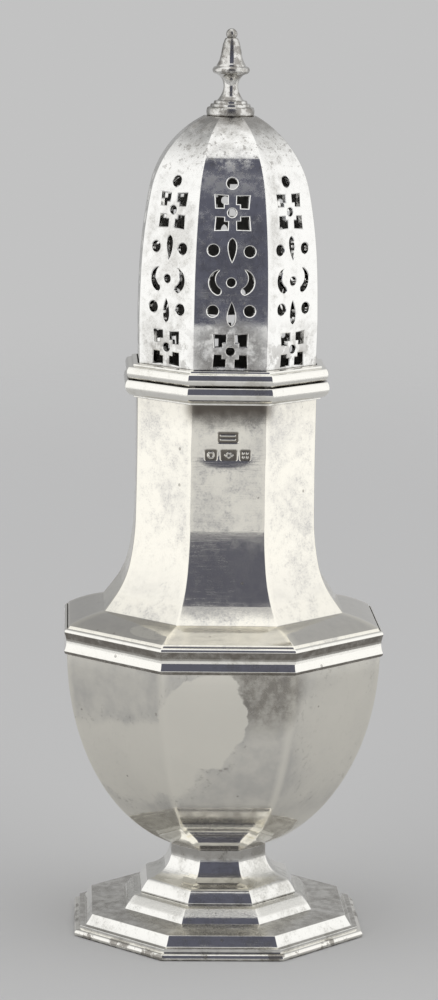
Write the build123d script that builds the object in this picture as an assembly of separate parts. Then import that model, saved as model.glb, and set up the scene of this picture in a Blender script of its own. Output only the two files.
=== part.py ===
"""Octagonal silver sugar caster: a footed baluster body and a pierced, domed pull-off cover.

Millimetres, +Z up. The origin is the centre of the foot's underside. The eight flats of every
piece face +X, +Y, -X, -Y and the diagonals between them, so "half" below always means half of
the width across flats: the distance from the axis to a flat.
"""
from build123d import *
import os
from math import asin, degrees, radians, sin, sqrt, tan

# Overall sizes
SIDES = 8
TURN = 360 / SIDES
WALL = 0.8                 # raised and hammered sheet
STEM_WALL = 0.9            # a little heavier, because the stem carries the bowl
RUNNING_GAP = 0.25         # between the cover's sleeve and the neck
SEAT_GAP = 0.3             # between the two rim mouldings with the cover on

# Foot. A bulge is the height of an arc over its chord: positive swells, negative hollows
FOOT_HALF = 28.6
FOOT_WIRE_TOP_HALF = 28.2
FOOT_WIRE_INNER_HALF = 26.75
FOOT_WIRE_HEIGHT = 1.3
FOOT_WIRE_CORNER = 0.2
FOOT_WIRE_BULGE = 0.18
FLANGE_HALF = 27.5
FLANGE_Z = FOOT_WIRE_HEIGHT + WALL
BEVEL_HALF = 26.4
BEVEL_BULGE = -0.04
DECK_OUTER_HALF = 25.1
DECK_OUTER_Z = 4.15
DECK_INNER_HALF = 18.6
DECK_INNER_Z = 4.5
STEP_HALF = 16.7
STEP_Z = 7.1
STEP_BULGE = 0.12
PEDESTAL_HALF = 15.4
PEDESTAL_Z = 7.5
LEDGE_INNER_HALF = 14.4
OVOLO_HALF = 14.05
OVOLO_EDGE_Z = 7.8
OVOLO_TOP_Z = 9.95
OVOLO_BULGE = 0.08
STEM_HALF = 9.4
STEM_RADIUS = 5.2
STEM_TURN = 66
STEM_COLLAR = 1.5          # straight length under the bowl

# Bowl: a half ellipse in profile, cut off level where it meets the stem
BODY_HALF = 30.6
BOWL_DEPTH = 43.2
BOWL_CENTRE_Z = 58.0
SEAM_Z = 59.75

# Girdle: two reeds with a hollow between them
GIRDLE_Z = 57.0
GIRDLE_HEIGHT = 5.2
REED_WIDTH = 1.1
REED_CREST = 0.6
REED_HALF = 31.15
HOLLOW_EDGE_HALF = 31.05
HOLLOW_HALF = 30.78

# Shoulder and neck
SHOULDER_EDGE_Z = 62.0
SHOULDER_OUTER_HALF = 30.2
SHOULDER_OUTER_Z = 62.65
SHOULDER_BULGE = 0.28
NECK_HALF = 17.5
FLARE_TOP_Z = 84.3
FLARE_UPPER_RADIUS = 49.5
FLARE_UPPER_TURN = 11.5
FLARE_LOWER_RADIUS = 17.0
FLARE_LOWER_TURN = 25
CREASE_HALF = 23.4
CREASE_Z = 65.1
NECK_TOP_Z = 110.45

# Rim moulding of the neck: a fillet, then a convex band up to the mouth
NECK_RIM_Z = 106.9
NECK_FILLET_HALF = 18.2
NECK_FILLET_HEIGHT = 0.5
NECK_BAND_FOOT_HALF = 18.8
NECK_BAND_HALF = 19.85
NECK_BAND_WIDEST = 2.0     # height of the widest place above the fillet's underside
NECK_BAND_TOP_HALF = 19.45

# Rim moulding of the cover: a convex band, then a narrow ledge against the panels
COVER_BAND_FOOT_HALF = 19.15
COVER_BAND_HALF = 19.6
COVER_BAND_TOP_HALF = 19.2
COVER_BAND_HEIGHT = 2.25
COVER_BAND_WIDEST = 1.0
COVER_LEDGE_HALF = 18.4
COVER_LEDGE_HEIGHT = 0.4

# Cover
COVER_Z = NECK_TOP_Z + SEAT_GAP
DOME_HALF = 17.35
DOME_SPRING_Z = 127.0
DOME_SIDE_RADIUS = 108.0
DOME_SIDE_TURN = 10.7
DOME_CROWN_RADIUS = 20.4
DOME_TOP_Z = 161.2
SLEEVE_WALL = 0.6
SLEEVE_LEAD = (0.25, 0.6)  # chamfer at the sleeve's lower edge: across and up
SLEEVE_DEPTH = 9.0         # how far it reaches down into the neck
SLEEVE_TOP_Z = 113.5

# Piercing, as heights on the axis of each panel
TOP_HOLE_Z = 149.3
UPPER_CROSS_Z = 143.7
UPPER_SLIT_Z = 136.7
UPPER_PAIR_Z = 136.5
COMMA_Z = 130.5
LOWER_PAIR_Z = 125.0
LOWER_SLIT_Z = 124.4
LOWER_CROSS_Z = 117.35
PAIR_SPACING = 3.5
LARGE_HOLE_RADIUS = 1.1
SMALL_HOLE_RADIUS = 0.85
CROSS_REACH = 3.35
CROSS_BAR = 0.85           # half the width of a cross's arms
CROSS_NOTCH = 1.65
CROSS_FLARE = 0.15
SLIT_LENGTH = 4.4
SLIT_SHOULDER = 1.15       # the slit's two control points, across from its axis
SLIT_WAIST = 0.85

COMMA_TIP = (2.5, 2.35)    # places across and above the middle of the comma
COMMA_BACK = (4.4, 0.1)
COMMA_HEEL = (2.75, -2.3)
COMMA_NOSE = (2.05, -1.75)
COMMA_HEAD = (2.45, -1.05)
COMMA_BELLY = (3.25, 0.2)

# Finial. Profiles are (radius, height above the piece's foot)
BOSS_RADIUS = 4.5
BOSS_BULGE = 0.15
BOSS_DRUM_HEIGHT = 1.6
BOSS_STEPS = ((3.95, 1.8), (3.85, 2.3), (3.3, 2.4), (3.2, 2.9), (2.7, 3.0))
FINIAL_Z = DOME_TOP_Z + 3.0
WAIST_PROFILE = ((2.6, 0), (1.75, 1.3), (1.42, 2.8), (1.75, 4.0))
DISC_Z = 170.0
DISC_RADIUS = 3.6
DISC_EDGE_RADIUS = 2.85
DISC_HALF_THICKNESS = 0.75
BELL_Z = 171.0
BELL_PROFILE = ((2.8, 0), (2.1, 1.7), (1.75, 3.6), (1.2, 5.1))
BALL_RADIUS = 1.1
OVERALL_HEIGHT = 178.0

REACH = 40                 # further out than any piece goes


def mitred(section):
    """Carry a section, drawn as (distance from axis, height), round eight mitred sides."""
    corner = REACH * tan(radians(TURN / 2))
    bar = extrude(Plane.XZ * section, amount=corner * 1.1, both=True)
    triangle = make_face(Polyline((0, 0), (REACH, -corner), (REACH, corner), (0, 0)))
    side = bar & extrude(Plane.XY * triangle, amount=OVERALL_HEIGHT)
    others = [side.rotate(Axis.Z, TURN * i) for i in range(1, SIDES)]
    return side.fuse(*others)


def sheet(outline, wall=WALL):
    """A sheet's section: an outline that runs upwards and inwards, thickened on its inner side."""
    return make_face(offset(outline, amount=wall, side=Side.LEFT))


def turned(section):
    """A round piece, turned about the axis."""
    return revolve(Plane.XZ * section, axis=Axis.Z)


def swelling(start, end, bulge):
    """An arc that runs upwards and inwards, outside its chord by the bulge, or inside if negative."""
    return SagittaArc(start, end, -bulge)


def foot_rim_wire():
    """The octagonal wire that stiffens the foot's edge, the only piece that touches the table."""
    foot = (FOOT_HALF, FOOT_WIRE_CORNER)
    top = (FOOT_WIRE_TOP_HALF, FOOT_WIRE_HEIGHT)
    rest = Polyline(top, (FOOT_WIRE_INNER_HALF, FOOT_WIRE_HEIGHT), (FOOT_WIRE_INNER_HALF, 0),
                    (FOOT_HALF - FOOT_WIRE_CORNER, 0), foot)
    return mitred(make_face(swelling(foot, top, FOOT_WIRE_BULGE) + rest))


def foot_plinth():
    """The stepped foot: a flange on the wire, a steep bevel, a flat deck and a step that swells slightly."""
    flange = Line((FLANGE_HALF, FLANGE_Z), (BEVEL_HALF, FLANGE_Z))
    bevel = swelling(flange @ 1, (DECK_OUTER_HALF, DECK_OUTER_Z), BEVEL_BULGE)
    deck = Line(bevel @ 1, (DECK_INNER_HALF, DECK_INNER_Z))
    step = swelling(deck @ 1, (STEP_HALF, STEP_Z), STEP_BULGE)
    ledge = Polyline(step @ 1, (PEDESTAL_HALF, PEDESTAL_Z), (LEDGE_INNER_HALF, PEDESTAL_Z))
    return mitred(sheet(flange + bevel + deck + step + ledge))


def bowl_level(depth, half):
    """The height at which an ellipse of this depth and half-width has shrunk to the stem's width."""
    return BOWL_CENTRE_Z - depth * sqrt(1 - (STEM_HALF / half) ** 2)


BOWL_BASE_Z = bowl_level(BOWL_DEPTH, BODY_HALF)


def foot_pedestal():
    """The ovolo and the waisted stem above it, up to the underside of the bowl."""
    edge = Line((PEDESTAL_HALF, PEDESTAL_Z), (PEDESTAL_HALF, OVOLO_EDGE_Z))
    ovolo = swelling(edge @ 1, (OVOLO_HALF, OVOLO_TOP_Z), OVOLO_BULGE)
    stem = JernArc((STEM_HALF, BOWL_BASE_Z - STEM_COLLAR), (0, -1), STEM_RADIUS, STEM_TURN)
    slope = Line(ovolo @ 1, stem @ 1)
    collar = Line(stem @ 0, (STEM_HALF, BOWL_BASE_Z))
    return mitred(sheet(edge + ovolo + slope + stem + collar, STEM_WALL))


def bowl_curve(half, depth, level):
    """An elliptical arc from the level where the bowl is cut off up to its widest point."""
    swing = degrees(asin((BOWL_CENTRE_Z - level) / depth))
    return EllipticalCenterArc((0, BOWL_CENTRE_Z), half, depth, start_angle=-swing, arc_size=swing)


def bowl():
    """The lower body, with a level floor where it stands on the stem."""
    outer = bowl_curve(BODY_HALF, BOWL_DEPTH, BOWL_BASE_Z)
    inner = bowl_curve(BODY_HALF - WALL, BOWL_DEPTH - WALL, BOWL_BASE_Z + WALL)
    floor = Polyline(inner @ 0, (0, BOWL_BASE_Z + WALL), (0, BOWL_BASE_Z), outer @ 0)
    rim = Polyline(outer @ 1, (BODY_HALF, SEAM_Z), (BODY_HALF - WALL, SEAM_Z), inner @ 1)
    return mitred(make_face(outer + inner + floor + rim))


def girdle_moulding():
    """The wire over the seam between the bowl and the shoulder: two reeds with a hollow between them."""
    top = GIRDLE_Z + GIRDLE_HEIGHT
    lower = ThreePointArc((BODY_HALF, GIRDLE_Z), (REED_HALF, GIRDLE_Z + REED_CREST),
                          (HOLLOW_EDGE_HALF, GIRDLE_Z + REED_WIDTH))
    hollow = ThreePointArc(lower @ 1, (HOLLOW_HALF, GIRDLE_Z + GIRDLE_HEIGHT / 2),
                           (HOLLOW_EDGE_HALF, top - REED_WIDTH))
    upper = ThreePointArc(hollow @ 1, (REED_HALF, top - REED_CREST), (BODY_HALF, top))
    back = Line(upper @ 1, (BODY_HALF, GIRDLE_Z))
    return mitred(make_face(lower + hollow + upper + back))


def shoulder_and_neck():
    """The upper body: a nearly flat shoulder, a crease, and a flare that rises into a straight neck."""
    edge = Polyline((BODY_HALF, SEAM_Z), (BODY_HALF, SHOULDER_EDGE_Z),
                    (SHOULDER_OUTER_HALF, SHOULDER_OUTER_Z))
    upper_flare = JernArc((NECK_HALF, FLARE_TOP_Z), (0, -1), FLARE_UPPER_RADIUS, FLARE_UPPER_TURN)
    lower_flare = JernArc(upper_flare @ 1, upper_flare % 1, FLARE_LOWER_RADIUS, FLARE_LOWER_TURN)
    shoulder = swelling(edge @ 1, (CREASE_HALF, CREASE_Z), SHOULDER_BULGE)
    slope = Line(shoulder @ 1, lower_flare @ 1)
    neck = Line(upper_flare @ 0, (NECK_HALF, NECK_TOP_Z))
    return mitred(sheet(edge + shoulder + slope + lower_flare + upper_flare + neck))


def neck_rim_moulding():
    """The convex wire round the neck's mouth, with a small fillet under it."""
    step = 0.1
    fillet = Polyline((NECK_HALF, NECK_RIM_Z), (NECK_FILLET_HALF, NECK_RIM_Z + step),
                      (NECK_FILLET_HALF, NECK_RIM_Z + NECK_FILLET_HEIGHT),
                      (NECK_BAND_FOOT_HALF, NECK_RIM_Z + NECK_FILLET_HEIGHT + step))
    band = ThreePointArc(fillet @ 1, (NECK_BAND_HALF, NECK_RIM_Z + NECK_BAND_WIDEST),
                         (NECK_BAND_TOP_HALF, NECK_TOP_Z))
    back = Polyline(band @ 1, (NECK_HALF, NECK_TOP_Z), (NECK_HALF, NECK_RIM_Z))
    return mitred(make_face(fillet + band + back))


def cover_rim_moulding():
    """The convex wire round the foot of the cover, with a small ledge above it."""
    top = COVER_Z + COVER_BAND_HEIGHT
    slope = 0.15
    band = ThreePointArc((COVER_BAND_FOOT_HALF, COVER_Z), (COVER_BAND_HALF, COVER_Z + COVER_BAND_WIDEST),
                         (COVER_BAND_TOP_HALF, top))
    ledge = Polyline(band @ 1, (COVER_LEDGE_HALF, top + slope),
                     (COVER_LEDGE_HALF - 0.1, top + slope + COVER_LEDGE_HEIGHT),
                     (DOME_HALF, top + 2 * slope + COVER_LEDGE_HEIGHT))
    back = Polyline(ledge @ 1, (DOME_HALF, COVER_Z), (COVER_BAND_FOOT_HALF, COVER_Z))
    return mitred(make_face(band + ledge + back))


SLEEVE_HALF = NECK_HALF - WALL - RUNNING_GAP


def cover_sleeve():
    """The strip inside the cover that slides down into the neck and holds the cover by friction."""
    inner = SLEEVE_HALF - SLEEVE_WALL
    bottom = NECK_TOP_Z - SLEEVE_DEPTH
    lead_in, lead_up = SLEEVE_LEAD
    start = (SLEEVE_HALF, SLEEVE_TOP_Z)
    outline = Polyline(start, (inner, SLEEVE_TOP_Z), (inner, bottom), (SLEEVE_HALF - lead_in, bottom),
                       (SLEEVE_HALF, bottom + lead_up), start)
    return mitred(make_face(outline))


def dome_blank():
    """The cover before piercing: straight panels that curve in to a small level crown."""
    side = Line((DOME_HALF, COVER_Z), (DOME_HALF, DOME_SPRING_Z))
    haunch = JernArc(side @ 1, side % 1, DOME_SIDE_RADIUS, DOME_SIDE_TURN)
    crown_centre_z = (haunch @ 1).Y - DOME_CROWN_RADIUS * sin(radians(DOME_SIDE_TURN))
    crown_end = degrees(asin((DOME_TOP_Z - crown_centre_z) / DOME_CROWN_RADIUS))
    crown = JernArc(haunch @ 1, haunch % 1, DOME_CROWN_RADIUS, crown_end - DOME_SIDE_TURN)
    top = Line(crown @ 1, (0, DOME_TOP_Z))
    return mitred(sheet(side + haunch + crown + top, DOME_HALF - SLEEVE_HALF))


def cross_piercing():
    """A cross left standing in the metal: four notched corner holes round a small one."""
    corner = make_face(Polyline(
        (CROSS_NOTCH, CROSS_BAR), (CROSS_REACH - CROSS_FLARE, CROSS_BAR), (CROSS_REACH, CROSS_REACH),
        (CROSS_BAR, CROSS_REACH - CROSS_FLARE), (CROSS_BAR, CROSS_NOTCH), (CROSS_NOTCH, CROSS_NOTCH),
        (CROSS_NOTCH, CROSS_BAR)))
    corners = [corner.rotate(Axis.Z, 90 * i) for i in range(4)]
    return Sketch() + corners + Circle(SMALL_HOLE_RADIUS)


def slit_piercing():
    """A pointed slit, widest above its middle."""
    half = SLIT_LENGTH / 2
    right = Bezier((0, half), (SLIT_SHOULDER, half * 0.75), (SLIT_WAIST, -half * 0.2), (0, -half))
    return make_face(right + mirror(right, about=Plane.YZ))


def comma_piercing():
    """A curved comma to the right of the panel's axis, thin at the top with a round head below."""
    outer = ThreePointArc(COMMA_TIP, COMMA_BACK, COMMA_HEEL)
    nose = ThreePointArc(COMMA_HEEL, COMMA_NOSE, COMMA_HEAD)
    inner = ThreePointArc(COMMA_HEAD, COMMA_BELLY, COMMA_TIP)
    return make_face(outer + nose + inner)


def panel_piercing():
    """All the holes of one panel, drawn as (across the panel, height)."""
    upper_slit = Pos(0, UPPER_SLIT_Z) * slit_piercing()
    lower_slit = Pos(0, LOWER_SLIT_Z) * mirror(slit_piercing(), about=Plane.XZ)
    comma = Pos(0, COMMA_Z) * comma_piercing()
    holes = Pos(0, TOP_HOLE_Z) * Circle(LARGE_HOLE_RADIUS) + Pos(0, COMMA_Z) * Circle(SMALL_HOLE_RADIUS)
    for height in (UPPER_PAIR_Z, LOWER_PAIR_Z):
        for across in (-PAIR_SPACING, PAIR_SPACING):
            holes += Pos(across, height) * Circle(LARGE_HOLE_RADIUS)
    for height in (UPPER_CROSS_Z, LOWER_CROSS_Z):
        holes += Pos(0, height) * cross_piercing()
    return holes + upper_slit + lower_slit + comma + mirror(comma, about=Plane.YZ)


def cover_dome():
    """The pierced cover. Every panel carries the same pattern, cut outwards from near the axis."""
    panel = extrude(Plane.XZ.offset(BOSS_RADIUS) * panel_piercing(), amount=DOME_HALF)
    cutters = []
    for i in range(SIDES):
        cutters += panel.rotate(Axis.Z, TURN * i).solids()
    return dome_blank().cut(*cutters)


def above(base, profile):
    """The profile's points with their heights counted from the base."""
    return [(radius, base + height) for radius, height in profile]


def finial_boss():
    """The stepped button that covers the meeting of the eight panels."""
    drum = swelling((BOSS_RADIUS, DOME_TOP_Z), (BOSS_RADIUS, DOME_TOP_Z + BOSS_DRUM_HEIGHT), BOSS_BULGE)
    steps = Polyline(drum @ 1, *above(DOME_TOP_Z, BOSS_STEPS), (0, FINIAL_Z), (0, DOME_TOP_Z), drum @ 0)
    return turned(make_face(drum + steps))


def finial_baluster():
    """The cast and turned finial: a waisted stem, a disc, a bell and a ball."""
    disc_top = (DISC_EDGE_RADIUS, DISC_Z + DISC_HALF_THICKNESS)
    waist = Spline(*above(FINIAL_Z, WAIST_PROFILE), (DISC_EDGE_RADIUS, DISC_Z - DISC_HALF_THICKNESS))
    disc = ThreePointArc(waist @ 1, (DISC_RADIUS, DISC_Z), disc_top)
    bell = Spline(*above(BELL_Z, BELL_PROFILE))
    shelf = Line(disc @ 1, bell @ 0)
    ball = CenterArc((0, OVERALL_HEIGHT - BALL_RADIUS), BALL_RADIUS, start_angle=-40, arc_size=130)
    collar = Line(bell @ 1, ball @ 0)
    axis = Polyline(ball @ 1, (0, FINIAL_Z), waist @ 0)
    return turned(make_face(waist + disc + shelf + bell + collar + ball + axis))


NODES = {
    "foot_rim_wire": foot_rim_wire,
    "foot_plinth": foot_plinth,
    "foot_pedestal": foot_pedestal,
    "bowl": bowl,
    "girdle_moulding": girdle_moulding,
    "shoulder_and_neck": shoulder_and_neck,
    "neck_rim_moulding": neck_rim_moulding,
    "cover_rim_moulding": cover_rim_moulding,
    "cover_sleeve": cover_sleeve,
    "cover_dome": cover_dome,
    "finial_boss": finial_boss,
    "finial_baluster": finial_baluster,
}

os.makedirs("parts", exist_ok=True)
for name, make in NODES.items():
    export_step(make(), f"parts/{name}.step")
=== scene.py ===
import bmesh
import bpy
import numpy as np
from math import ceil, cos, pi, radians, sin, tan
from mathutils import Matrix, Vector, noise
from mathutils.geometry import delaunay_2d_cdt


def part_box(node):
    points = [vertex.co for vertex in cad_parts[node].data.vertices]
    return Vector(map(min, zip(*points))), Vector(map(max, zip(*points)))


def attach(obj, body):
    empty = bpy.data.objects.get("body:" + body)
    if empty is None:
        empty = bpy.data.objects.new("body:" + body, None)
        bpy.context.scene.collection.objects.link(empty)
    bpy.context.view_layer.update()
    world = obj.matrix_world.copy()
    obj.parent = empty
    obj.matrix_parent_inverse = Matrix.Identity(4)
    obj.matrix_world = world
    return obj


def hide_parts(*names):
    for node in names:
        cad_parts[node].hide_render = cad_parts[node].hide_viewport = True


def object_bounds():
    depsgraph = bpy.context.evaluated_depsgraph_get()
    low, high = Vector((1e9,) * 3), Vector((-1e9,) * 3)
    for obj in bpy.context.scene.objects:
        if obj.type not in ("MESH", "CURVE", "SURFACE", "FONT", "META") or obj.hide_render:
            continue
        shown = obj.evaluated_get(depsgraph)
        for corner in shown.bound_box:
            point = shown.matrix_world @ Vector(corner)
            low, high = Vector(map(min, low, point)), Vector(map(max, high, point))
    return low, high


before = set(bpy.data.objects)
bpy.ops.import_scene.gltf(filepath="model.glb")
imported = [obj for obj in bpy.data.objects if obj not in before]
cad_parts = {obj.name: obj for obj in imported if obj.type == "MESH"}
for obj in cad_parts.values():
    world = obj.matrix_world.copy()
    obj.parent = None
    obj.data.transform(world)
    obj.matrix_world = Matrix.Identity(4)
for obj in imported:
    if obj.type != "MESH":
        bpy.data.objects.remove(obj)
cad_low, cad_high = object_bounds()

MM = 0.001
SIDES = 8
TURN = 2 * pi / SIDES
HALF_TURN = TURN / 2
FRONT_SIDE = 6  # the flat that faces -Y; flat 0 faces +X

# Softness of the real metal: worn corners and ridges, and uneven, hand-raised sheet
CORNER_RADIUS = 0.13  # mm, for corners of a profile
CORNER_STEPS = (0, 0.25, 0.5, 0.75, 1)
CLEAN_CUT_ANGLE = radians(17)  # a plane at this angle misses every hole of a panel
CURVE_SAG = 0.022  # mm, how far the CAD's facets may leave its curves
SHARP_TURN = radians(40)  # a corner, however short its sides
STRAIGHT = radians(0.15)
SAME_POINT = 1e-4  # mm
ON_AXIS = 1e-6
TINY = 1e-12
WAVE_HEIGHT = 0.035  # mm
FINIAL_WAVE = 0.01  # mm
ARC_STEPS = 5  # round each ridge
WORN_WIDTH = 0.5  # mm, on each side of a ridge

# The piercing, sawn by hand: filed rims, and small faults of place, angle and size
RIM_WIDTH = 0.16  # mm
RIM_DROP = 0.12  # mm
HAND_SHIFT = 0.12  # mm
HAND_SIZE = 0.04
HAND_TURN = radians(2.5)

# The pierced cover's sheet
PANEL_COLUMNS = 12
PANEL_GRID = 1.1  # mm
GRID_CLEARANCE = 0.3  # mm, outside the rims of the holes
POLE_RADIUS = 0.8  # mm, the crown closes within it, under the boss
PLAIN_CROWN = 8  # mm, without holes
DRAWN_IN = 0.22  # mm, how far the foot of the cover's wall is drawn in
DRAWN_IN_HEIGHT = 11.6  # mm, above the wall's foot
DRAWN_IN_CURVE = 1.15
LEAN = 0.12  # mm, how far the wall leans in over the next LEAN_HEIGHT
LEAN_HEIGHT = 8.0  # mm

# Camera: a long lens a little above the cover, looking slightly down
CAMERA_DISTANCE = 0.6739
CAMERA_HEIGHT = 0.1978
CAMERA_SIDE = -0.0009
CAMERA_PITCH = radians(9.447)
CAMERA_ROLL = radians(1.0)
CAMERA_TURN = radians(-2.6)
CAMERA_LENS = 124.6

# Floor: an oval. Its changes are shares of its reach; the camera's side is below 0
FLOOR_REACH = (0.42, 1.12)  # m, across and along the view
FLOOR_GREY = 0.62
FLOOR_FRONT_GREY = 0.84
FLOOR_PALES = (-0.45, -0.08)
FLOOR_FRONT_EDGE = (0.985, 0.992)
FLOOR_BACK_EDGE = (0.45, 0.98)
FLOOR_TURNS_BACK = (-0.15, 0.1)

# Light tent. Angles are round from the front, or up from level
TENT = 1.04
BACKDROP = (0.37, 0.50)  # left and right
SWEEP_SIDES = (radians(95), radians(140))
SWEEP_TOP = (radians(50), radians(61))
SWEEP_MIDDLE = (-0.15, 0.15)
OPENING = (0.105, 0.108, 0.140)
OPENING_SIDES = (radians(20), radians(25))
OPENING_FOOT = (radians(-40), radians(-30))
OPENING_TOP = (radians(56), radians(62))
SEEN_BACKGROUND = 0.54


# ---- profiles

def lengths(vectors):
    return np.linalg.norm(vectors, axis=1)[:, None]


def walk(links, start):
    """The vertices met on following the edges from start, as far as they go."""
    verts, used, here = [start], set(), start
    while True:
        onward = [edge for edge in links[here] if edge not in used]
        if not onward:
            return verts
        used.add(onward[0])
        here = onward[0].other_vert(here)
        verts.append(here)


def anticlockwise(outline):
    x, z = outline.T
    area = np.sum(x * np.roll(z, -1) - np.roll(x, -1) * z)
    return outline[::-1] if area < 0 else outline


def clean_section(node, angle):
    """The outline of a CAD node cut by a half plane through its axis, as ordered (distance, height)
    points in mm, anticlockwise. A piece that reaches its axis gives an open outline."""
    mesh = bmesh.new()
    mesh.from_mesh(node.data)
    bmesh.ops.rotate(mesh, matrix=Matrix.Rotation(-angle, 3, "Z"), verts=mesh.verts)
    bmesh.ops.remove_doubles(mesh, verts=mesh.verts, dist=1e-7)
    whole = mesh.verts[:] + mesh.edges[:] + mesh.faces[:]
    bmesh.ops.bisect_plane(mesh, geom=whole, plane_co=(0, 0, 0), plane_no=(1, 0, 0), clear_inner=True)
    half = mesh.verts[:] + mesh.edges[:] + mesh.faces[:]
    cut = bmesh.ops.bisect_plane(mesh, geom=half, plane_co=(0, 0, 0), plane_no=(0, 1, 0))
    links = {}
    for edge in cut["geom_cut"]:
        if isinstance(edge, bmesh.types.BMEdge) and max(v.co.x for v in edge.verts) > ON_AXIS:
            for vert in edge.verts:
                links.setdefault(vert, []).append(edge)
    ends = [v for v, linked in links.items() if len(linked) == 1]
    start = max(ends, key=lambda v: v.co.z) if ends else next(iter(links))
    outline = np.array([(v.co.x, v.co.z) for v in walk(links, start)]) / MM
    mesh.free()
    closed = not ends
    if closed:
        outline = outline[:-1]
    outline = anticlockwise(outline)
    outline[:, 0] *= cos(angle)
    return simplified(outline, closed), closed


def turns(outline, closed):
    """For each point, the turn of the outline there, and the shorter of the two runs beside it."""
    before = outline - np.roll(outline, 1, axis=0)
    after = np.roll(outline, -1, axis=0) - outline
    cross = before[:, 0] * after[:, 1] - before[:, 1] * after[:, 0]
    turn = np.arctan2(cross, np.sum(before * after, axis=1))
    run = np.minimum(np.linalg.norm(before, axis=1), np.linalg.norm(after, axis=1))
    if not closed:
        turn[0] = turn[-1] = pi
    return turn, run


def simplified(outline, closed):
    """The outline without doubled points and points along straight runs."""
    gap = np.linalg.norm(outline - np.roll(outline, 1, axis=0), axis=1)
    outline = outline[gap > SAME_POINT]
    turn, _ = turns(outline, closed)
    return outline[np.abs(turn) > STRAIGHT]


def smooth_run(start, end, start_way, end_way, step):
    """Points along a curve that leaves start and arrives at end in the given directions, without end."""
    length = np.linalg.norm(end - start)
    count = max(1, ceil(length / step))
    t = (np.arange(count) / count)[:, None]
    a, b = start_way * length, end_way * length
    return ((2 * t**3 - 3 * t**2 + 1) * start + (t**3 - 2 * t**2 + t) * a
            + (3 * t**2 - 2 * t**3) * end + (t**3 - t**2) * b)


def softened(outline, closed, step):
    """The outline with its curves made smooth, its long runs divided, and its sharp corners rounded."""
    turn, run = turns(outline, closed)
    sharp = (np.abs(turn) * run / 8 > CURVE_SAG) | (np.abs(turn) > SHARP_TURN)
    count = len(outline)
    way = np.roll(outline, -1, axis=0) - outline
    length = lengths(way)
    way = way / length
    tangent = np.roll(way, 1, axis=0) * length + way * np.roll(length, 1, axis=0)
    tangent /= lengths(tangent)
    points, corners = [], []
    for i in range(count if closed else count - 1):
        j = (i + 1) % count
        start_way, end_way = tangent[i], tangent[j]
        if sharp[i] and sharp[j]:
            start_way = end_way = way[i]
        elif sharp[i]:
            start_way = 2 * np.dot(end_way, way[i]) * way[i] - end_way
        elif sharp[j]:
            end_way = 2 * np.dot(start_way, way[i]) * way[i] - start_way
        stretch = smooth_run(outline[i], outline[j], start_way, end_way, step)
        points.extend(stretch)
        corners.extend([sharp[i]] + [False] * (len(stretch) - 1))
    if not closed:
        points.append(outline[-1])
        corners.append(False)
        corners[0] = False
    return rounded(np.array(points), corners)


def rounded(points, corners):
    """The points, with a short curve in place of each corner."""
    result = []
    to_last, to_next = (np.roll(points, shift, axis=0) - points for shift in (1, -1))
    for here, back, ahead, corner in zip(points, to_last, to_next, corners):
        if not corner:
            result.append(here)
            continue
        room, room_ahead = np.linalg.norm(back), np.linalg.norm(ahead)
        reach = min(CORNER_RADIUS, 0.45 * room, 0.45 * room_ahead)
        first = here + back / room * reach
        last = here + ahead / room_ahead * reach
        for t in CORNER_STEPS:
            result.append((1 - t) ** 2 * first + 2 * t * (1 - t) * here + t**2 * last)
    return np.array(result)


# ---- meshes

def face_normals(co, faces):
    """Each face's normal, as long as twice the face's area."""
    a, b, c = (co[[f[k] for f in faces]] for k in (0, 1, 2))
    last = co[[f[-1] for f in faces]]
    return np.cross(b - a, c - a) + np.cross(c - a, last - a)


def area_normals(co, faces, crisp):
    """A normal for each vertex, in which large faces count for more and crisp ones don't count."""
    across = face_normals(co, faces)
    across[crisp] = 0
    normals = np.zeros_like(co)
    for face, vector in zip(faces, across):
        normals[list(face)] += vector
    return normals / np.maximum(lengths(normals), TINY)


def waviness(co, height, seed):
    """How far each point sinks, in mm: nothing to height, varying over one to two centimetres."""
    shift = Vector((seed * 7.3, seed * 3.1, seed * 5.7))
    sink = np.empty(len(co))
    for i, point in enumerate(co):
        place = Vector(point)
        broad = noise.noise(place * 0.07 + shift)
        fine = noise.noise(place * 0.27 - shift)
        sink[i] = 0.5 + 0.42 * broad + 0.13 * fine
    return np.clip(sink, 0, 1) * height


def finished_piece(name, co, faces, body, node_name, material, ridge, wave, seed, struck=None,
                   crisp=None):
    """Makes the mesh object, in metres, lets its surface sink unevenly, hangs it on its body and hides the
    CAD node it stands for.
    struck gives the depth of struck work and how much grime it holds, for each point. crisp says which
    faces stay flat and sharp, such as a saw's cut."""
    co = np.array(co, float)
    crisp = np.zeros(len(faces), bool) if crisp is None else crisp
    sink = waviness(co, wave, seed)
    grime = np.zeros(len(co))
    if struck:
        depth, grime = struck(co)
        sink = sink + depth
    co = co - area_normals(co, faces, crisp) * sink[:, None]
    smooth = area_normals(co, faces, crisp)
    sharp = face_normals(co, faces)
    sharp /= np.maximum(lengths(sharp), TINY)
    corner_normals = []
    for face, flat, normal in zip(faces, crisp, sharp):
        corner_normals.extend([normal] * len(face) if flat else smooth[list(face)])
    mesh = bpy.data.meshes.new(name)
    mesh.from_pydata((co * MM).tolist(), [], faces)
    mesh.polygons.foreach_set("use_smooth", [True] * len(mesh.polygons))
    for label, values in (("ridge", ridge), ("grime", grime)):
        attribute = mesh.attributes.new(label, "FLOAT", "POINT")
        attribute.data.foreach_set("value", values.astype(np.float32))
    mesh.normals_split_custom_set(np.array(corner_normals).tolist())
    mesh.materials.append(material)
    piece = bpy.data.objects.new(name, mesh)
    bpy.context.scene.collection.objects.link(piece)
    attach(piece, body)
    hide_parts(node_name)
    return piece


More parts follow.
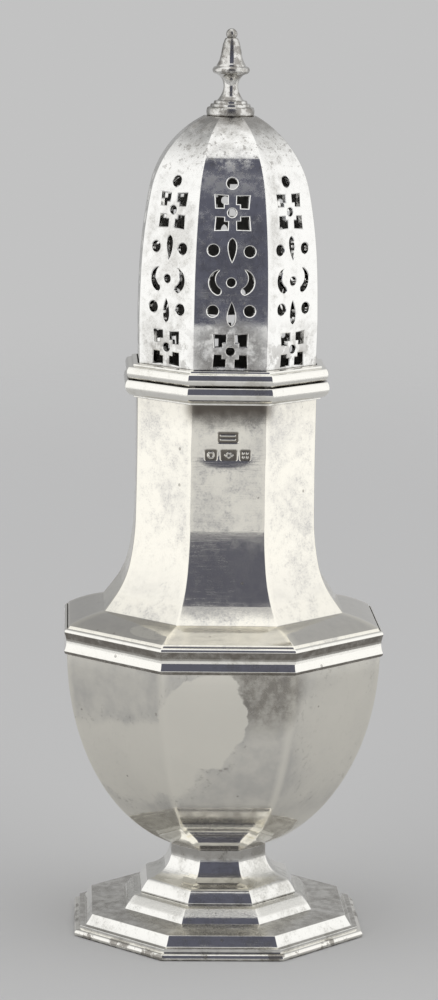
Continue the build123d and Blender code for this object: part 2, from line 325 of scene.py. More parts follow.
def eight_sided(outline, ridge_radius, across, front_across=None):
    """Points of an outline carried round eight flats whose ridges are rounded, as rows of columns,
    with how near each column is to a ridge."""
    half, height = outline.T
    radius = np.minimum(ridge_radius, 0.5 * np.abs(half))
    columns, nearness = [], []
    for side in range(SIDES):
        facing = side * TURN
        out, along = np.array([cos(facing), sin(facing)]), np.array([-sin(facing), cos(facing)])
        steps = front_across if front_across and side == FRONT_SIDE else across
        for k in range(steps + 1):
            t = 2 * k / steps - 1
            flat = t * (half - radius) * tan(HALF_TURN)
            columns.append(half[:, None] * out + flat[:, None] * along)
            to_ridge = (1 - abs(t)) * (half - radius) * tan(HALF_TURN)
            nearness.append(worn(to_ridge))
        centre = ((half - radius) / cos(HALF_TURN))[:, None]
        centre = centre * np.array([cos(facing + HALF_TURN), sin(facing + HALF_TURN)])
        for k in range(1, ARC_STEPS):
            angle = facing + TURN * k / ARC_STEPS
            columns.append(centre + radius[:, None] * np.array([cos(angle), sin(angle)]))
            nearness.append(np.ones(len(half)))
    columns = np.array(columns)
    upright = np.broadcast_to(height, columns.shape[:2])[..., None]
    return np.concatenate([columns, upright], axis=2), np.array(nearness)


def round_turned(outline, count=120):
    """Points of an outline turned on its axis, as rows of columns, none of them near a ridge."""
    half, height = outline.T
    angle = 2 * pi * np.arange(count)[:, None] / count
    upright = np.broadcast_to(height, (count, len(half)))
    points = np.stack([half * np.cos(angle), half * np.sin(angle), upright], axis=2)
    return points, np.zeros((count, len(half)))


def worn(distance):
    """How much an edge is worn at this distance from it, from 1 to 0."""
    return np.exp(-((distance / WORN_WIDTH) ** 2))


def swept_faces(columns, rows, closed):
    faces = []
    for c in range(columns):
        d = (c + 1) % columns
        for r in range(rows if closed else rows - 1):
            s = (r + 1) % rows
            faces.append((c * rows + r, d * rows + r, d * rows + s, c * rows + s))
    return faces


def merged_poles(co, faces):
    """Points on the axis become one point each."""
    on_axis = np.hypot(co[:, 0], co[:, 1]) < ON_AXIS
    target = np.arange(len(co))
    for height in np.unique(np.round(co[on_axis][:, 2], 5)):
        group = np.where(on_axis & (np.abs(co[:, 2] - height) < SAME_POINT))[0]
        target[group] = group[0]
    used = np.unique(target)
    renumber = {old: new for new, old in enumerate(used)}
    merged = []
    for face in faces:
        corners = tuple(dict.fromkeys(renumber[target[corner]] for corner in face))
        if len(corners) > 2:
            merged.append(corners)
    return co[used], merged, used


def swept_piece(node_name, name, body, material, seed, step=0.8, ridge_radius=0.3, across=12,
                wave=WAVE_HEIGHT, round_piece=False, front_across=None, fine_rows=None, struck=None):
    """Stands for a CAD node with the same outline all round: that outline, softened."""
    outline, closed = clean_section(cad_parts[node_name], 0 if round_piece else CLEAN_CUT_ANGLE)
    outline = softened(outline, closed, step)
    if fine_rows:
        outline = with_fine_rows(outline, *fine_rows)
    if round_piece:
        points, ridge = round_turned(outline)
    else:
        points, ridge = eight_sided(outline, ridge_radius, across, front_across)
    columns, rows = points.shape[:2]
    co = points.reshape(-1, 3)
    co, faces, used = merged_poles(co, swept_faces(columns, rows, closed))
    return finished_piece(name, co, faces, body, node_name, material, ridge.reshape(-1)[used], wave, seed,
                          struck)


def with_fine_rows(outline, low, high, step):
    """Divides the outline's outer side more finely between two heights."""
    result = []
    for start, end in zip(outline, np.roll(outline, -1, axis=0)):
        rise = end[1] - start[1]
        pieces = ceil(rise / step) if rise > 0 and start[1] < high and end[1] > low else 1
        result.extend(start + (end - start) * k / pieces for k in range(pieces))
    return np.array(result)


# ---- struck marks, in mm

MARKS_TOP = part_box("neck_rim_moulding")[0].z / MM
MARKS_ROWS = (MARKS_TOP - 12.0, MARKS_TOP - 3.5, 0.12)  # from, to and apart
MARKS_COLUMNS = 110
MARK_DEPTH = 0.13
MARK_CORNER = 0.35
MARK_SLOPE = 0.14
MARK_GRIME = 0.85
FIELD_SHARE = 0.25  # of the depth; the rest is cut round the pattern
DENT = (-0.5, MARKS_TOP - 9.3, 4.2, 1.5, 0.15)  # across, height, half lengths and depth


def bars(u, v):
    return (np.abs(u) < 1.5) & (np.abs(np.abs(v) - 0.4) < 0.16)


def ring(u, v):
    return np.abs(np.hypot(u, v) - 0.55) < 0.17


def lozenge(u, v):
    return (np.abs(u) * 0.7 + np.abs(v) < 0.68) & (np.abs(u) * 0.7 + np.abs(v) > 0.3)


def dots(u, v):
    return np.hypot(np.abs(u) - 0.38, np.abs(v) - 0.38) < 0.26


# across, below the rim, half width, half height, and the plain pattern in each
MARKS = ((-0.15, 6.2, 2.0, 1.08, bars),
         (-3.4, 9.65, 1.2, 1.08, ring),
         (0.05, 9.65, 1.6, 1.08, lozenge),
         (3.2, 9.65, 1.05, 1.08, dots))


def struck_marks(co):
    """The depth of the struck marks under the rim of the front flat, and of the dent behind them, and
    the grime that the marks hold. The marks are plain patterns."""
    x, y, z = co.T
    outer = y < -(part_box("cover_dome")[1].x / MM)
    depth, grime = np.zeros(len(co)), np.zeros(len(co))
    for across, below, half_width, half_height, pattern in MARKS:
        u, v = x - across, z - (MARKS_TOP - below)
        past_side = np.maximum(np.abs(u) - half_width + MARK_CORNER, 0)
        past_top = np.maximum(np.abs(v) - half_height + MARK_CORNER, 0)
        within_edge = MARK_CORNER + MARK_SLOPE / 2 - np.hypot(past_side, past_top)
        sunk = outer * np.clip(within_edge / MARK_SLOPE, 0, 1)
        field = sunk * ~pattern(u, v)
        depth += MARK_DEPTH * (FIELD_SHARE * sunk + (1 - FIELD_SHARE) * field)
        grime += field
    across, height, half_length, half_height, deepest = DENT
    away = ((x - across) / half_length) ** 2 + ((z - height) / half_height) ** 2
    return depth + outer * deepest * np.exp(-away / 2), np.clip(grime, 0, 1) * MARK_GRIME


# ---- pierced cover

def hole_outlines(node, floor_height, roof_height):
    """The holes of the flat that faces +X, each as a closed outline of (across, height) points in mm."""
    mesh = bmesh.new()
    mesh.from_mesh(node.data)
    bmesh.ops.remove_doubles(mesh, verts=mesh.verts, dist=1e-7)
    mesh.normal_update()
    # a hole's walls face along the flat and lie within its wedge
    walls = set()
    for face in mesh.faces:
        x, y, z = face.calc_center_median() / MM
        if abs(face.normal.x) < 0.25 and abs(y) < 0.36 * x and floor_height < z < roof_height:
            walls.add(face)
    links = {}
    for face in walls:
        for edge in face.edges:
            if any(f not in walls and f.normal.x > 0.25 for f in edge.link_faces):
                for vert in edge.verts:
                    links.setdefault(vert, set()).add(edge)
    links = {vert: sorted(edges, key=lambda e: e.index) for vert, edges in links.items()}
    outlines = []
    while links:
        verts = walk(links, min(links, key=lambda v: v.index))
        points = np.array([(v.co.y / MM, v.co.z / MM) for v in verts[:-1]])
        outlines.append(anticlockwise(simplified(points, True)))
        for vert in verts:
            links.pop(vert, None)
    mesh.free()
    return sorted(outlines, key=lambda o: (round(o[:, 1].mean(), 2), o[:, 0].mean()))


def grown(outline, amount):
    """The outline moved outwards, with mitred corners."""
    before = outline - np.roll(outline, 1, axis=0)
    after = np.roll(outline, -1, axis=0) - outline
    before /= lengths(before)
    after /= lengths(after)
    bisector = np.stack([before[:, 1] + after[:, 1], -before[:, 0] - after[:, 0]], axis=1)
    share = np.maximum(np.sum(bisector**2, axis=1) / 2, 0.5)
    return outline + bisector / share[:, None] * amount


def inside(points, outline):
    """Which of the points lie inside the closed outline."""
    x, y = points.T
    result = np.zeros(len(points), bool)
    for (x1, y1), (x2, y2) in zip(outline, np.roll(outline, -1, axis=0)):
        if y1 != y2:
            result ^= ((y1 > y) != (y2 > y)) & (x < (x2 - x1) * (y - y1) / (y2 - y1) + x1)
    return result


def hand_cut(outline, random):
    """The outline as a hand would saw it: a little out of place, turned and uneven in size."""
    centre = outline.mean(axis=0)
    angle = random.uniform(-1, 1) * HAND_TURN
    size = 1 + random.uniform(-1, 1) * HAND_SIZE
    spin = np.array([[cos(angle), -sin(angle)], [sin(angle), cos(angle)]])
    return (outline - centre) @ spin.T * size + centre + random.uniform(-1, 1, 2) * HAND_SHIFT


class DomeSheet:
    """The cover's sheet: a profile carried round eight flats. Unlike the CAD's, its wall is drawn in at
    the foot and leans in above."""

    def __init__(self, outline, ridge_radius, step):
        inner, outer = (np.lexsort((sign * outline[:, 0], outline[:, 1]))[0] for sign in (1, -1))
        self.wall = outline[outer, 0] - outline[inner, 0]
        profile = softened(outline[outer:], False, step)
        self.half, self.height = profile[profile[:, 0] > POLE_RADIUS].T
        rise = self.height - self.height.min() - DRAWN_IN_HEIGHT
        self.half = self.half - DRAWN_IN * np.clip(-rise / DRAWN_IN_HEIGHT, 0, 1) ** DRAWN_IN_CURVE
        self.half = self.half - LEAN * np.clip(rise / LEAN_HEIGHT, 0, 1)
        self.top = outline[-1, 1]
        self.along = np.concatenate([[0], np.cumsum(np.hypot(np.diff(self.half), np.diff(self.height)))])
        across, upwards = np.gradient(self.half, self.along), np.gradient(self.height, self.along)
        slope = np.stack([across, upwards], axis=1)
        slope /= lengths(slope)
        self.out, self.up = slope[:, 1], -slope[:, 0]
        self.ridge_radius = ridge_radius

    def at(self, along, depth):
        """Half width, height and ridge radius, this far along the profile and this deep in the sheet."""
        half, height, out, up = (np.interp(along, self.along, v) for v in
                                 (self.half, self.height, self.out, self.up))
        half = half - out * depth
        return half, height - up * depth, np.minimum(self.ridge_radius, 0.3 * half)

    def flat(self, along, depth=0.0):
        half, _, radius = self.at(along, depth)
        return (half - radius) * tan(HALF_TURN)

    def on_flat(self, side, across, along, depth):
        half, height, _ = self.at(along, depth)
        t = across * self.flat(along, depth) / self.flat(along)
        facing = side * TURN
        x = half * cos(facing) - t * sin(facing)
        y = half * sin(facing) + t * cos(facing)
        return np.stack([x, y, height], axis=1)

    def on_ridge(self, side, share, depth):
        half, height, radius = self.at(self.along, depth)
        centre = (half - radius) / cos(HALF_TURN)
        corner, angle = (side + 0.5) * TURN, (side + share) * TURN
        x = centre * cos(corner) + radius * cos(angle)
        y = centre * sin(corner) + radius * sin(angle)
        return np.stack([x, y, height], axis=1)


def panel_triangles(sheet, holes):
    """One flat with its holes, as triangles between points (across, along the profile). Also gives the
    loop of each hole, and the rows of points at the foot, left and right."""
    rows = sheet.along
    width = sheet.flat(rows)
    foot = [(width[0] * (2 * k / PANEL_COLUMNS - 1), 0.0) for k in range(PANEL_COLUMNS + 1)]
    right = list(zip(width[1:], rows[1:]))
    left = [(-w, s) for w, s in zip(width[1:], rows[1:])]
    points = foot + right + left[::-1]
    border = np.array(points)
    edges = [(i, (i + 1) % len(points)) for i in range(len(points))]
    loops = []
    for hole in holes:
        for outline in (hole, grown(hole, RIM_WIDTH)):
            first = len(points)
            points.extend(map(tuple, outline))
            loop = list(range(first, len(points)))
            edges.extend(zip(loop, loop[1:] + loop[:1]))
            loops.append(loop)
    keep_off = [grown(hole, RIM_WIDTH + GRID_CLEARANCE) for hole in holes]
    for w, s in zip(width[1:-1], rows[1:-1]):
        count = max(1, round(2 * w / PANEL_GRID))
        grid = np.array([(w * (2 * k / count - 1), s) for k in range(1, count)]).reshape(-1, 2)
        for outline in keep_off:
            grid = grid[~inside(grid, outline)]
        points.extend(map(tuple, grid))
    points = [Vector(p) for p in points]
    made, _, triangles, sources, _, _ = delaunay_2d_cdt(points, edges, [], 1, 1e-5, True)
    flat_points = np.array([tuple(v) for v in made])
    index = {number: new for new, old in enumerate(sources) for number in old}
    triangles = np.array(triangles)
    centres = flat_points[triangles].mean(axis=1)
    # the sides bend in a little, and slivers outside the border would fill the bends
    solid = inside(centres, border)
    for hole in holes:
        solid &= ~inside(centres, hole)
    hole_loops = [[index[i] for i in loop] for loop in loops[::2]]
    outer = [index[i] for i in range(len(border))]
    foot_row = outer[:PANEL_COLUMNS + 1]
    right_side = outer[PANEL_COLUMNS:PANEL_COLUMNS + len(rows)]
    left_side = outer[:1] + outer[:-len(rows):-1]
    return flat_points, triangles[solid], hole_loops, foot_row, left_side, right_side


def pierced_dome(material):
    """Stands for the CAD's cover: eight pierced flats, rounded ridges and a closed crown."""
    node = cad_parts["cover_dome"]
    outline, _ = clean_section(node, CLEAN_CUT_ANGLE)
    sheet = DomeSheet(outline, ridge_radius=0.6, step=0.9)
    rim_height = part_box("cover_rim_moulding")[1].z / MM
    cut = hole_outlines(node, rim_height, sheet.top - PLAIN_CROWN)
    random = np.random.default_rng(7)
    co, faces, ridge, crisp = [], [], [], []

    def add(points, near):
        first = len(co)
        co.extend(points)
        ridge.extend(near)
        return np.arange(first, len(co))

    sides = []
    for side in range(SIDES):
        holes = []
        for hole in cut:
            across, height = hand_cut(hole, random).T
            holes.append(np.stack([across, np.interp(height, sheet.height, sheet.along)], axis=1))
        flat, triangles, loops, foot, left, right = panel_triangles(sheet, holes)
        across, along = flat.T
        at_hole = np.zeros(len(flat), bool)
        at_hole[np.concatenate(loops)] = True
        near = worn(sheet.flat(along) - np.abs(across))
        near[at_hole] = 1
        outer = add(sheet.on_flat(side, across, along, RIM_DROP * at_hole), near)
        inner = add(sheet.on_flat(side, across, along, sheet.wall), at_hole.astype(float))
        faces.extend(map(tuple, outer[triangles]))
        crisp.extend(at_hole[triangles].any(axis=1))
        faces.extend(map(tuple, inner[triangles[:, ::-1]]))
        crisp.extend([False] * len(triangles))
        for loop in loops + [foot]:
            ahead = loop[1:] + (loop[:1] if loop is not foot else [])
            for i, j in zip(loop, ahead):
                faces.append((outer[i], outer[j], inner[j], inner[i]))
                crisp.append(True)
        sides.append((outer, inner, left, right))
    levels = np.arange(len(sheet.along))
    crown = []
    for side in range(SIDES):
        outer, inner, left, right = sides[side]
        next_outer, next_inner, next_left, _ = sides[(side + 1) % SIDES]
        strips = [(outer[right], inner[right])]
        for k in range(1, ARC_STEPS):
            share = k / ARC_STEPS
            outside = add(sheet.on_ridge(side, share, 0.0), np.ones(len(levels)))
            within = add(sheet.on_ridge(side, share, sheet.wall), np.zeros(len(levels)))
            strips.append((outside, within))
        strips.append((next_outer[next_left], next_inner[next_left]))
        crown.append((outer[left[-1]], inner[left[-1]]))
        for (a, b), (c, d) in zip(strips, strips[1:]):
            faces.append((a[0], c[0], d[0], b[0]))
            crown.append((a[-1], b[-1]))
            for j in levels[:-1]:
                faces.append((a[j], c[j], c[j + 1], a[j + 1]))
                faces.append((b[j], b[j + 1], d[j + 1], d[j]))
    poles = add([np.array([0, 0, sheet.top]), np.array([0, 0, sheet.top - sheet.wall])], [0, 0])
    for (a, b), (c, d) in zip(crown, crown[1:] + crown[:1]):
        faces.append((a, c, poles[0]))
        faces.append((d, b, poles[1]))
    co = np.array(co)
    crisp.extend([False] * (len(faces) - len(crisp)))  # the ridges and the crown
    return finished_piece("pierced_cover", co, facing_out(co, faces), "cover", "cover_dome", material,
                          np.array(ridge, float), WAVE_HEIGHT, 12, crisp=np.array(crisp, bool))


def facing_out(co, faces):
    """The same faces, all turned to face out of the solid."""
    mesh = bpy.data.meshes.new("scratch")
    mesh.from_pydata(co.tolist(), [], [tuple(int(i) for i in f) for f in faces])
    work = bmesh.new()
    work.from_mesh(mesh)
    bmesh.ops.recalc_face_normals(work, faces=work.faces)
    result = [tuple(v.index for v in face.verts) for face in work.faces]
    work.free()
    bpy.data.meshes.remove(mesh)
    return result


# ---- node trees

class Nodes:
    """A short way to write a node tree: each call adds nodes and returns the node or its output."""

    def __init__(self, tree):
        self.tree = tree
        tree.nodes.clear()

    def add(self, kind, inputs=None, **settings):
        node = self.tree.nodes.new(kind)
        for key, value in settings.items():
            setattr(node, key, value)
        for key, value in (inputs or {}).items():
            if isinstance(value, bpy.types.NodeSocket):
                self.tree.links.new(value, node.inputs[key])
            else:
                node.inputs[key].default_value = value
        return node

    def math(self, operation, a, b=0.0, c=0.0, clamp=False):
        node = self.add("ShaderNodeMath", {0: a, 1: b, 2: c}, operation=operation, use_clamp=clamp)
        return node.outputs[0]

    def times(self, first, *others):
        for other in others:
            first = self.math("MULTIPLY", first, other)
        return first

    def scaled(self, value, by, plus):
        return self.math("MULTIPLY_ADD", value, by, plus)

    def most(self, a, b):
        return self.math("MAXIMUM", a, b)

    def less(self, a, b):
        """a less b, kept between 0 and 1."""
        return self.math("SUBTRACT", a, b, clamp=True)

    def ramp(self, value, low, high, bottom=0.0, top=1.0):
        """bottom below low, top above high, smooth between."""
        inputs = {"Value": value, "From Min": low, "From Max": high, "To Min": bottom, "To Max": top}
        return self.add("ShaderNodeMapRange", inputs, interpolation_type="SMOOTHSTEP").outputs[0]

    def fall(self, value, low, high):
        """1 below low, 0 above high, smooth between."""
        return self.ramp(value, low, high, 1.0, 0.0)

    def band(self, value, start, full, fading, end):
        """1 from full to fading, 0 below start and above end."""
        return self.times(self.ramp(value, start, full), self.fall(value, fading, end))

    def mix(self, factor, a, b):
        return self.add("ShaderNodeMix", {0: factor, 6: a, 7: b}, data_type="RGBA").outputs[2]

    def noise(self, place, scale, detail, rough, seed):
        inputs = {"Vector": place, "W": seed, "Scale": scale, "Detail": detail, "Roughness": rough}
        return self.add("ShaderNodeTexNoise", inputs, noise_dimensions="4D").outputs[0]

    def parts(self, vector):
        """The x, y and z of a vector."""
        return self.add("ShaderNodeSeparateXYZ", {0: vector}).outputs


def grey(value):
    return (value, value, value, 1)


# ---- studio

def studio_world():
    """A light tent: white sides and top, a dark opening at the front, a grey sweep behind. The camera
    sees plain grey instead."""
    world = bpy.data.worlds.new("studio")
    bpy.context.scene.world = world
    world.use_nodes = True
    n = Nodes(world.node_tree)
    direction = n.add("ShaderNodeTexCoord").outputs["Generated"]
    x, y, z = n.parts(direction)
    side = n.math("ARCTAN2", x, n.times(y, -1.0))
    side = n.math("ABSOLUTE", n.math("ADD", side, CAMERA_TURN))
    rise = n.math("ARCSINE", z)
    # behind the object, a grey sweep, paler on the right
    behind = n.ramp(side, *SWEEP_SIDES)
    low_down = n.fall(rise, *SWEEP_TOP)
    sweep = n.mix(n.ramp(x, *SWEEP_MIDDLE), *(grey(value) for value in BACKDROP))
    colour = n.mix(n.times(behind, low_down), grey(TENT), sweep)
    # dark opening at the front
    width = n.fall(side, *OPENING_SIDES)
    low = n.ramp(rise, *OPENING_FOOT)
    top = n.fall(rise, *OPENING_TOP)
    colour = n.mix(n.times(width, low, top), colour, (*OPENING, 1))
    light = n.add("ShaderNodeBackground", {"Color": colour, "Strength": 1.0}).outputs[0]
    plain = n.add("ShaderNodeBackground", {"Color": grey(SEEN_BACKGROUND), "Strength": 1.0}).outputs[0]
    seen = n.add("ShaderNodeLightPath").outputs["Is Camera Ray"]
    mixed = n.add("ShaderNodeMixShader", {0: seen, 1: light, 2: plain}).outputs[0]
    n.add("ShaderNodeOutputWorld", {"Surface": mixed})


def floor():
    """A pale oval table top with a crisp front edge, whose back edge fades out."""
    across, along = FLOOR_REACH
    bpy.ops.mesh.primitive_circle_add(vertices=96, radius=1, fill_type="NGON", location=(0, 0, cad_low.z))
    table = bpy.context.object
    table.name = "floor"
    table.scale = (across, along, 1)
    table.rotation_euler.z = CAMERA_TURN
    material = bpy.data.materials.new("floor")
    material.use_nodes = True
    n = Nodes(material.node_tree)
    place = n.add("ShaderNodeTexCoord").outputs["Object"]
    distance = n.add("ShaderNodeVectorMath", {0: place}, operation="LENGTH").outputs["Value"]
    backwards = n.parts(place)[1]
    paler = n.mix(n.fall(backwards, *FLOOR_PALES), grey(FLOOR_GREY), grey(FLOOR_FRONT_GREY))
    shader = n.add("ShaderNodeBsdfDiffuse", {"Color": paler}).outputs[0]
    clear = n.add("ShaderNodeBsdfTransparent").outputs[0]
    front_edge = n.ramp(distance, *FLOOR_FRONT_EDGE)
    back_edge = n.ramp(distance, *FLOOR_BACK_EDGE)
    is_back = n.ramp(backwards, *FLOOR_TURNS_BACK)
    edge = n.scaled(is_back, n.math("SUBTRACT", back_edge, front_edge), front_edge)
    mixed = n.add("ShaderNodeMixShader", {0: edge, 1: shader, 2: clear}).outputs[0]
    n.add("ShaderNodeOutputMaterial", {"Surface": mixed})
    table.data.materials.append(material)


def camera():
    data = bpy.data.cameras.new("camera")
    data.lens = CAMERA_LENS
    data.sensor_width = 36
    data.clip_start = 0.01
    data.clip_end = 20
    obj = bpy.data.objects.new("camera", data)
    bpy.context.scene.collection.objects.link(obj)
    place = Matrix.Translation((CAMERA_SIDE, -CAMERA_DISTANCE, CAMERA_HEIGHT))
    look = Matrix.Rotation(pi / 2 - CAMERA_PITCH, 4, "X") @ Matrix.Rotation(CAMERA_ROLL, 4, "Z")
    obj.matrix_world = Matrix.Rotation(CAMERA_TURN, 4, "Z") @ place @ look
    bpy.context.scene.camera = obj


# ---- tarnish and painted shade of each kind of piece
# Each marks function takes the place in mm, how far the surface faces up, the film so far and a
# mottle of noise. It gives the film, the dark stain with any painted shade, and the frosted part, from 0 to
# 1.

# Heights in mm above the table: where a change starts and ends, or the two changes of a band
BOWL_FOOT = (23.0, 29.0)  # polished below, dull above
BELOW_SEAM = (58.0, 59.0)
ABOVE_SEAM = (58.0, 60.0)
SHOULDER = (61.8, 62.3)
FLARE_FOOT = (67.5, 70.0)
FLARE_CLEARS = (68.0, 78.0)
FLARE_BLOOM = (66.0, 67.5, 80.0, 84.0)
NECK_TOP = (100.0, 101.5)
# heights of the painted shade under the neck's rim
UNDER_RIM = (102.4, 107.4)
COVER_FOOT = (115.0, 124.5)
UP_THE_COVER = (126.0, 146.0)
CROWN_EDGE = (145.0, 148.0, 150.0, 153.0)
CROWN = (146.0, 155.0)
ROUND_BOSS = (159.0, 162.0)
WIRE_TOP = (1.3, 1.6)
DECK_TOP = (4.7, 5.0)
STEP = (5.3, 5.8, 7.2, 7.6)
# heights of the painted shadow of the bowl on the top of the stem
STEM_TOP = (15.0, 16.6)
GIRDLE = (56.0, 56.5, 62.5, 63.0)

# Upward parts of the normal
NEARLY_LEVEL = (0.75, 0.92)
LEVEL = (0.90, 0.98)
FACING_DOWN = (-0.12, -0.01)

# Ovals: the centre, then the half size, in degrees round from the front and mm up
# where the painted shade under the neck's rim is strongest
RIM_SHADE_OVAL = ((0, 106.5), (26, 7))
SHOULDER_OVAL = ((-31, 63.9), (11, 0.85))
# where shade is painted on the bowl under the girdle
PAINTED_SHADE_OVAL = ((14, 53.5), (15, 7.5))
COVER_OVAL = ((0, 117), (23, 6.5))

# Where the bowl was wiped: the same, then how clean and how gradual at the edge
WIPED_AND_LIT_PATCHES = (((-8.5, 47.5), (16.5, 11), 1.0, 0.03),
                 ((-50, 37), (29, 10), 0.9, 0.12),
                 ((-27, 39), (20, 9), 0.95, 0.10),
                 # this patch is wiped and also painted light: it is made cleaner so that side looks
                 # brighter, as brighter reflected light would make it
                 ((50, 44), (24, 16), 0.9, 0.4),
                 ((150, 46), (40, 11), 0.8, 0.05))
PATCH_MARGIN = 1.15


def patch(n, place, centre, half, wobble, edge):
    """1 within an uneven oval on the outside, and 0 outside it. A small edge is a sharp one."""
    x, y, z = n.parts(place)
    round_by = n.math("ARCTAN2", x, n.times(y, -1.0))
    across = n.scaled(round_by, 1 / radians(half[0]), -centre[0] / half[0])
    up = n.scaled(z, 1 / half[1], -centre[1] / half[1])
    away = n.math("SQRT", n.scaled(up, up, n.times(across, across)))
    return n.fall(n.math("ADD", away, wobble), 1 - edge, 1 + edge)


def wiped_and_lit_patches(n, place, wobble):
    """Where the bowl was wiped clean, on the right also painted light, and the same with a margin round
    each patch.
    """
    cleaned, near = None, None
    for centre, half, strength, edge in WIPED_AND_LIT_PATCHES:
        spot = n.times(strength, patch(n, place, centre, half, wobble, edge))
        around = patch(n, place, centre, (half[0] * PATCH_MARGIN, half[1] * PATCH_MARGIN), wobble, 0.14)
        cleaned = spot if cleaned is None else n.most(cleaned, spot)
        near = around if near is None else n.most(near, around)
    return cleaned, near


def bowl_film(n, place, height, mottle, cleaned):
    """A dull veil over the bowl, thick and thin, but not where it was wiped or at its polished foot."""
    veil = n.ramp(n.noise(place, 0.11, 4.0, 0.6, 43.0), 0.38, 0.62, 0.45, 1.05)
    dull = n.times(veil, n.scaled(mottle, 0.5, 0.62))
    dull = n.times(dull, n.scaled(cleaned, -0.90, 1.0))
    return n.times(dull, n.ramp(height, *BOWL_FOOT, 0.05, 1.0))


def shoulder_film(n, place, upward, height, mottle, wobble):
    """A dull film on the flat shoulder, with one wiped oval in it."""
    level = n.times(n.ramp(upward, *NEARLY_LEVEL), n.ramp(height, *SHOULDER))
    wiped = patch(n, place, *SHOULDER_OVAL, n.times(wobble, 0.3), 0.06)
    level = n.times(level, n.scaled(wiped, -0.7, 1.0))
    return n.times(level, n.scaled(mottle, 0.6, 0.55))


def flare_film(n, height, mottle):
    """A thin film on the foot of the flare, clearing upwards."""
    thin = n.times(n.ramp(height, *FLARE_CLEARS, 0.42, 0.0), n.ramp(mottle, 0.35, 0.6, 0.6, 1.0))
    return n.times(thin, n.ramp(height, *FLARE_FOOT))


def bowl_stain_and_shade(n, place, height, mottle, wobble, cleaned, near):
    """Specks gathered at the edges of the wiped patches, and a cloud of painted shade under the girdle."""
    specks = n.ramp(n.noise(place, 0.95, 4.0, 0.7, 44.0), 0.55, 0.64)
    at_edges = n.times(n.less(near, cleaned), specks)
    at_edges = n.times(at_edges, n.fall(height, *BELOW_SEAM), 0.42)
    # painted shade under the girdle, in a mottled cloud
    cloud = patch(n, place, *PAINTED_SHADE_OVAL, wobble, 0.5)
    cloud = n.times(n.less(cloud, cleaned), n.ramp(mottle, 0.3, 0.6, 0.3, 0.65))
    cloud = n.times(cloud, n.fall(height, *BELOW_SEAM))
    return n.most(at_edges, cloud)


def neck_rim_shade(n, place, height, mottle):
    """Painted shade and dark reflection under the neck's rim, most of it at the front."""
    front = patch(n, place, *RIM_SHADE_OVAL, 0.0, 0.25)
    # painted shade and dark reflection under the rim, strongest at the front
    under_rim = n.ramp(n.scaled(mottle, 2.4, height), *UNDER_RIM)
    settled = n.times(under_rim, n.scaled(front, 0.80, 0.12))
    return n.times(settled, n.ramp(height, *NECK_TOP))


def body_marks(n, place, upward, film, mottle):
    """Veiled on the bowl and the shoulder, stained round the wiped patches, with painted shade under the
    girdle and under the neck's rim, and a faint bloom up the flare."""
    height = n.parts(place)[2]
    wobble = n.scaled(n.noise(place, 0.13, 2.0, 0.5, 40.0), 0.8, -0.4)
    wobble = n.scaled(mottle, 0.2, wobble)
    cleaned, near = wiped_and_lit_patches(n, place, wobble)
    veil = bowl_film(n, place, height, mottle, cleaned)
    film = n.mix(n.ramp(height, *ABOVE_SEAM), veil, film)
    film = n.most(film, shoulder_film(n, place, upward, height, mottle, wobble))
    film = n.most(film, flare_film(n, height, mottle))
    on_bowl = bowl_stain_and_shade(n, place, height, mottle, wobble, cleaned, near)
    painted_rim_shade = neck_rim_shade(n, place, height, mottle)
    bloom = n.times(n.band(height, *FLARE_BLOOM), n.ramp(mottle, 0.30, 0.65, 0.15, 0.45))
    return film, n.most(painted_rim_shade, on_bowl), bloom


def dome_marks(n, place, upward, film, mottle):
    """Brown stains low on the cover, most of them at the front, specks near the top, tarnish settled
    round the boss, and a bloom that thickens upwards to the edge of the crown."""
    height = n.parts(place)[2]
    low = n.fall(height, *COVER_FOOT)
    high = n.ramp(height, *CROWN)
    boss = n.ramp(n.scaled(mottle, 3.0, height), *ROUND_BOSS)
    blotch = n.ramp(n.noise(place, 0.36, 4.0, 0.6, 51.0), 0.48, 0.56)
    specks = n.ramp(n.noise(place, 1.3, 3.0, 0.6, 52.0), 0.56, 0.64)
    stain = n.times(low, n.times(blotch, 0.40))
    stain = n.most(stain, n.times(high, specks, 0.45))
    front = patch(n, place, *COVER_OVAL, n.scaled(mottle, 0.8, -0.4), 0.25)
    stain = n.most(stain, n.times(front, n.ramp(mottle, 0.36, 0.58, 0.08, 0.48)))
    bloom = n.ramp(n.noise(place, 0.42, 5.0, 0.66, 53.0), 0.40, 0.66)
    bloom = n.times(bloom, n.ramp(height, *UP_THE_COVER, 0.30, 0.85))
    edge = n.band(height, *CROWN_EDGE)
    bloom = n.most(bloom, n.times(edge, n.ramp(mottle, 0.3, 0.6, 0.35, 0.9)))
    return film, n.most(stain, n.times(boss, 0.55)), bloom


def foot_marks(n, place, upward, film, mottle):
    """The deck is dull and stained, the step above it is frosted by polishing grit, and the top of the stem
    is darkened with painted shadow of the bowl."""
    height = n.parts(place)[2]
    deck = n.times(n.ramp(upward, *LEVEL), n.fall(height, *DECK_TOP))
    film = n.most(film, n.scaled(mottle, 0.5, n.scaled(deck, 1.2, -1.0)))
    step = n.band(height, *STEP)
    frosted = n.times(step, n.ramp(mottle, 0.30, 0.50, 0.5, 1.0))
    film = n.most(film, n.times(step, 0.55))
    # painted shadow of the bowl on the top of the stem
    painted_bowl_shadow = n.ramp(n.scaled(mottle, 2.0, height), *STEM_TOP, 0.0, 0.50)
    on_deck = n.times(deck, n.ramp(mottle, 0.35, 0.65, 0.18, 0.50))
    return film, n.most(on_deck, painted_bowl_shadow), frosted


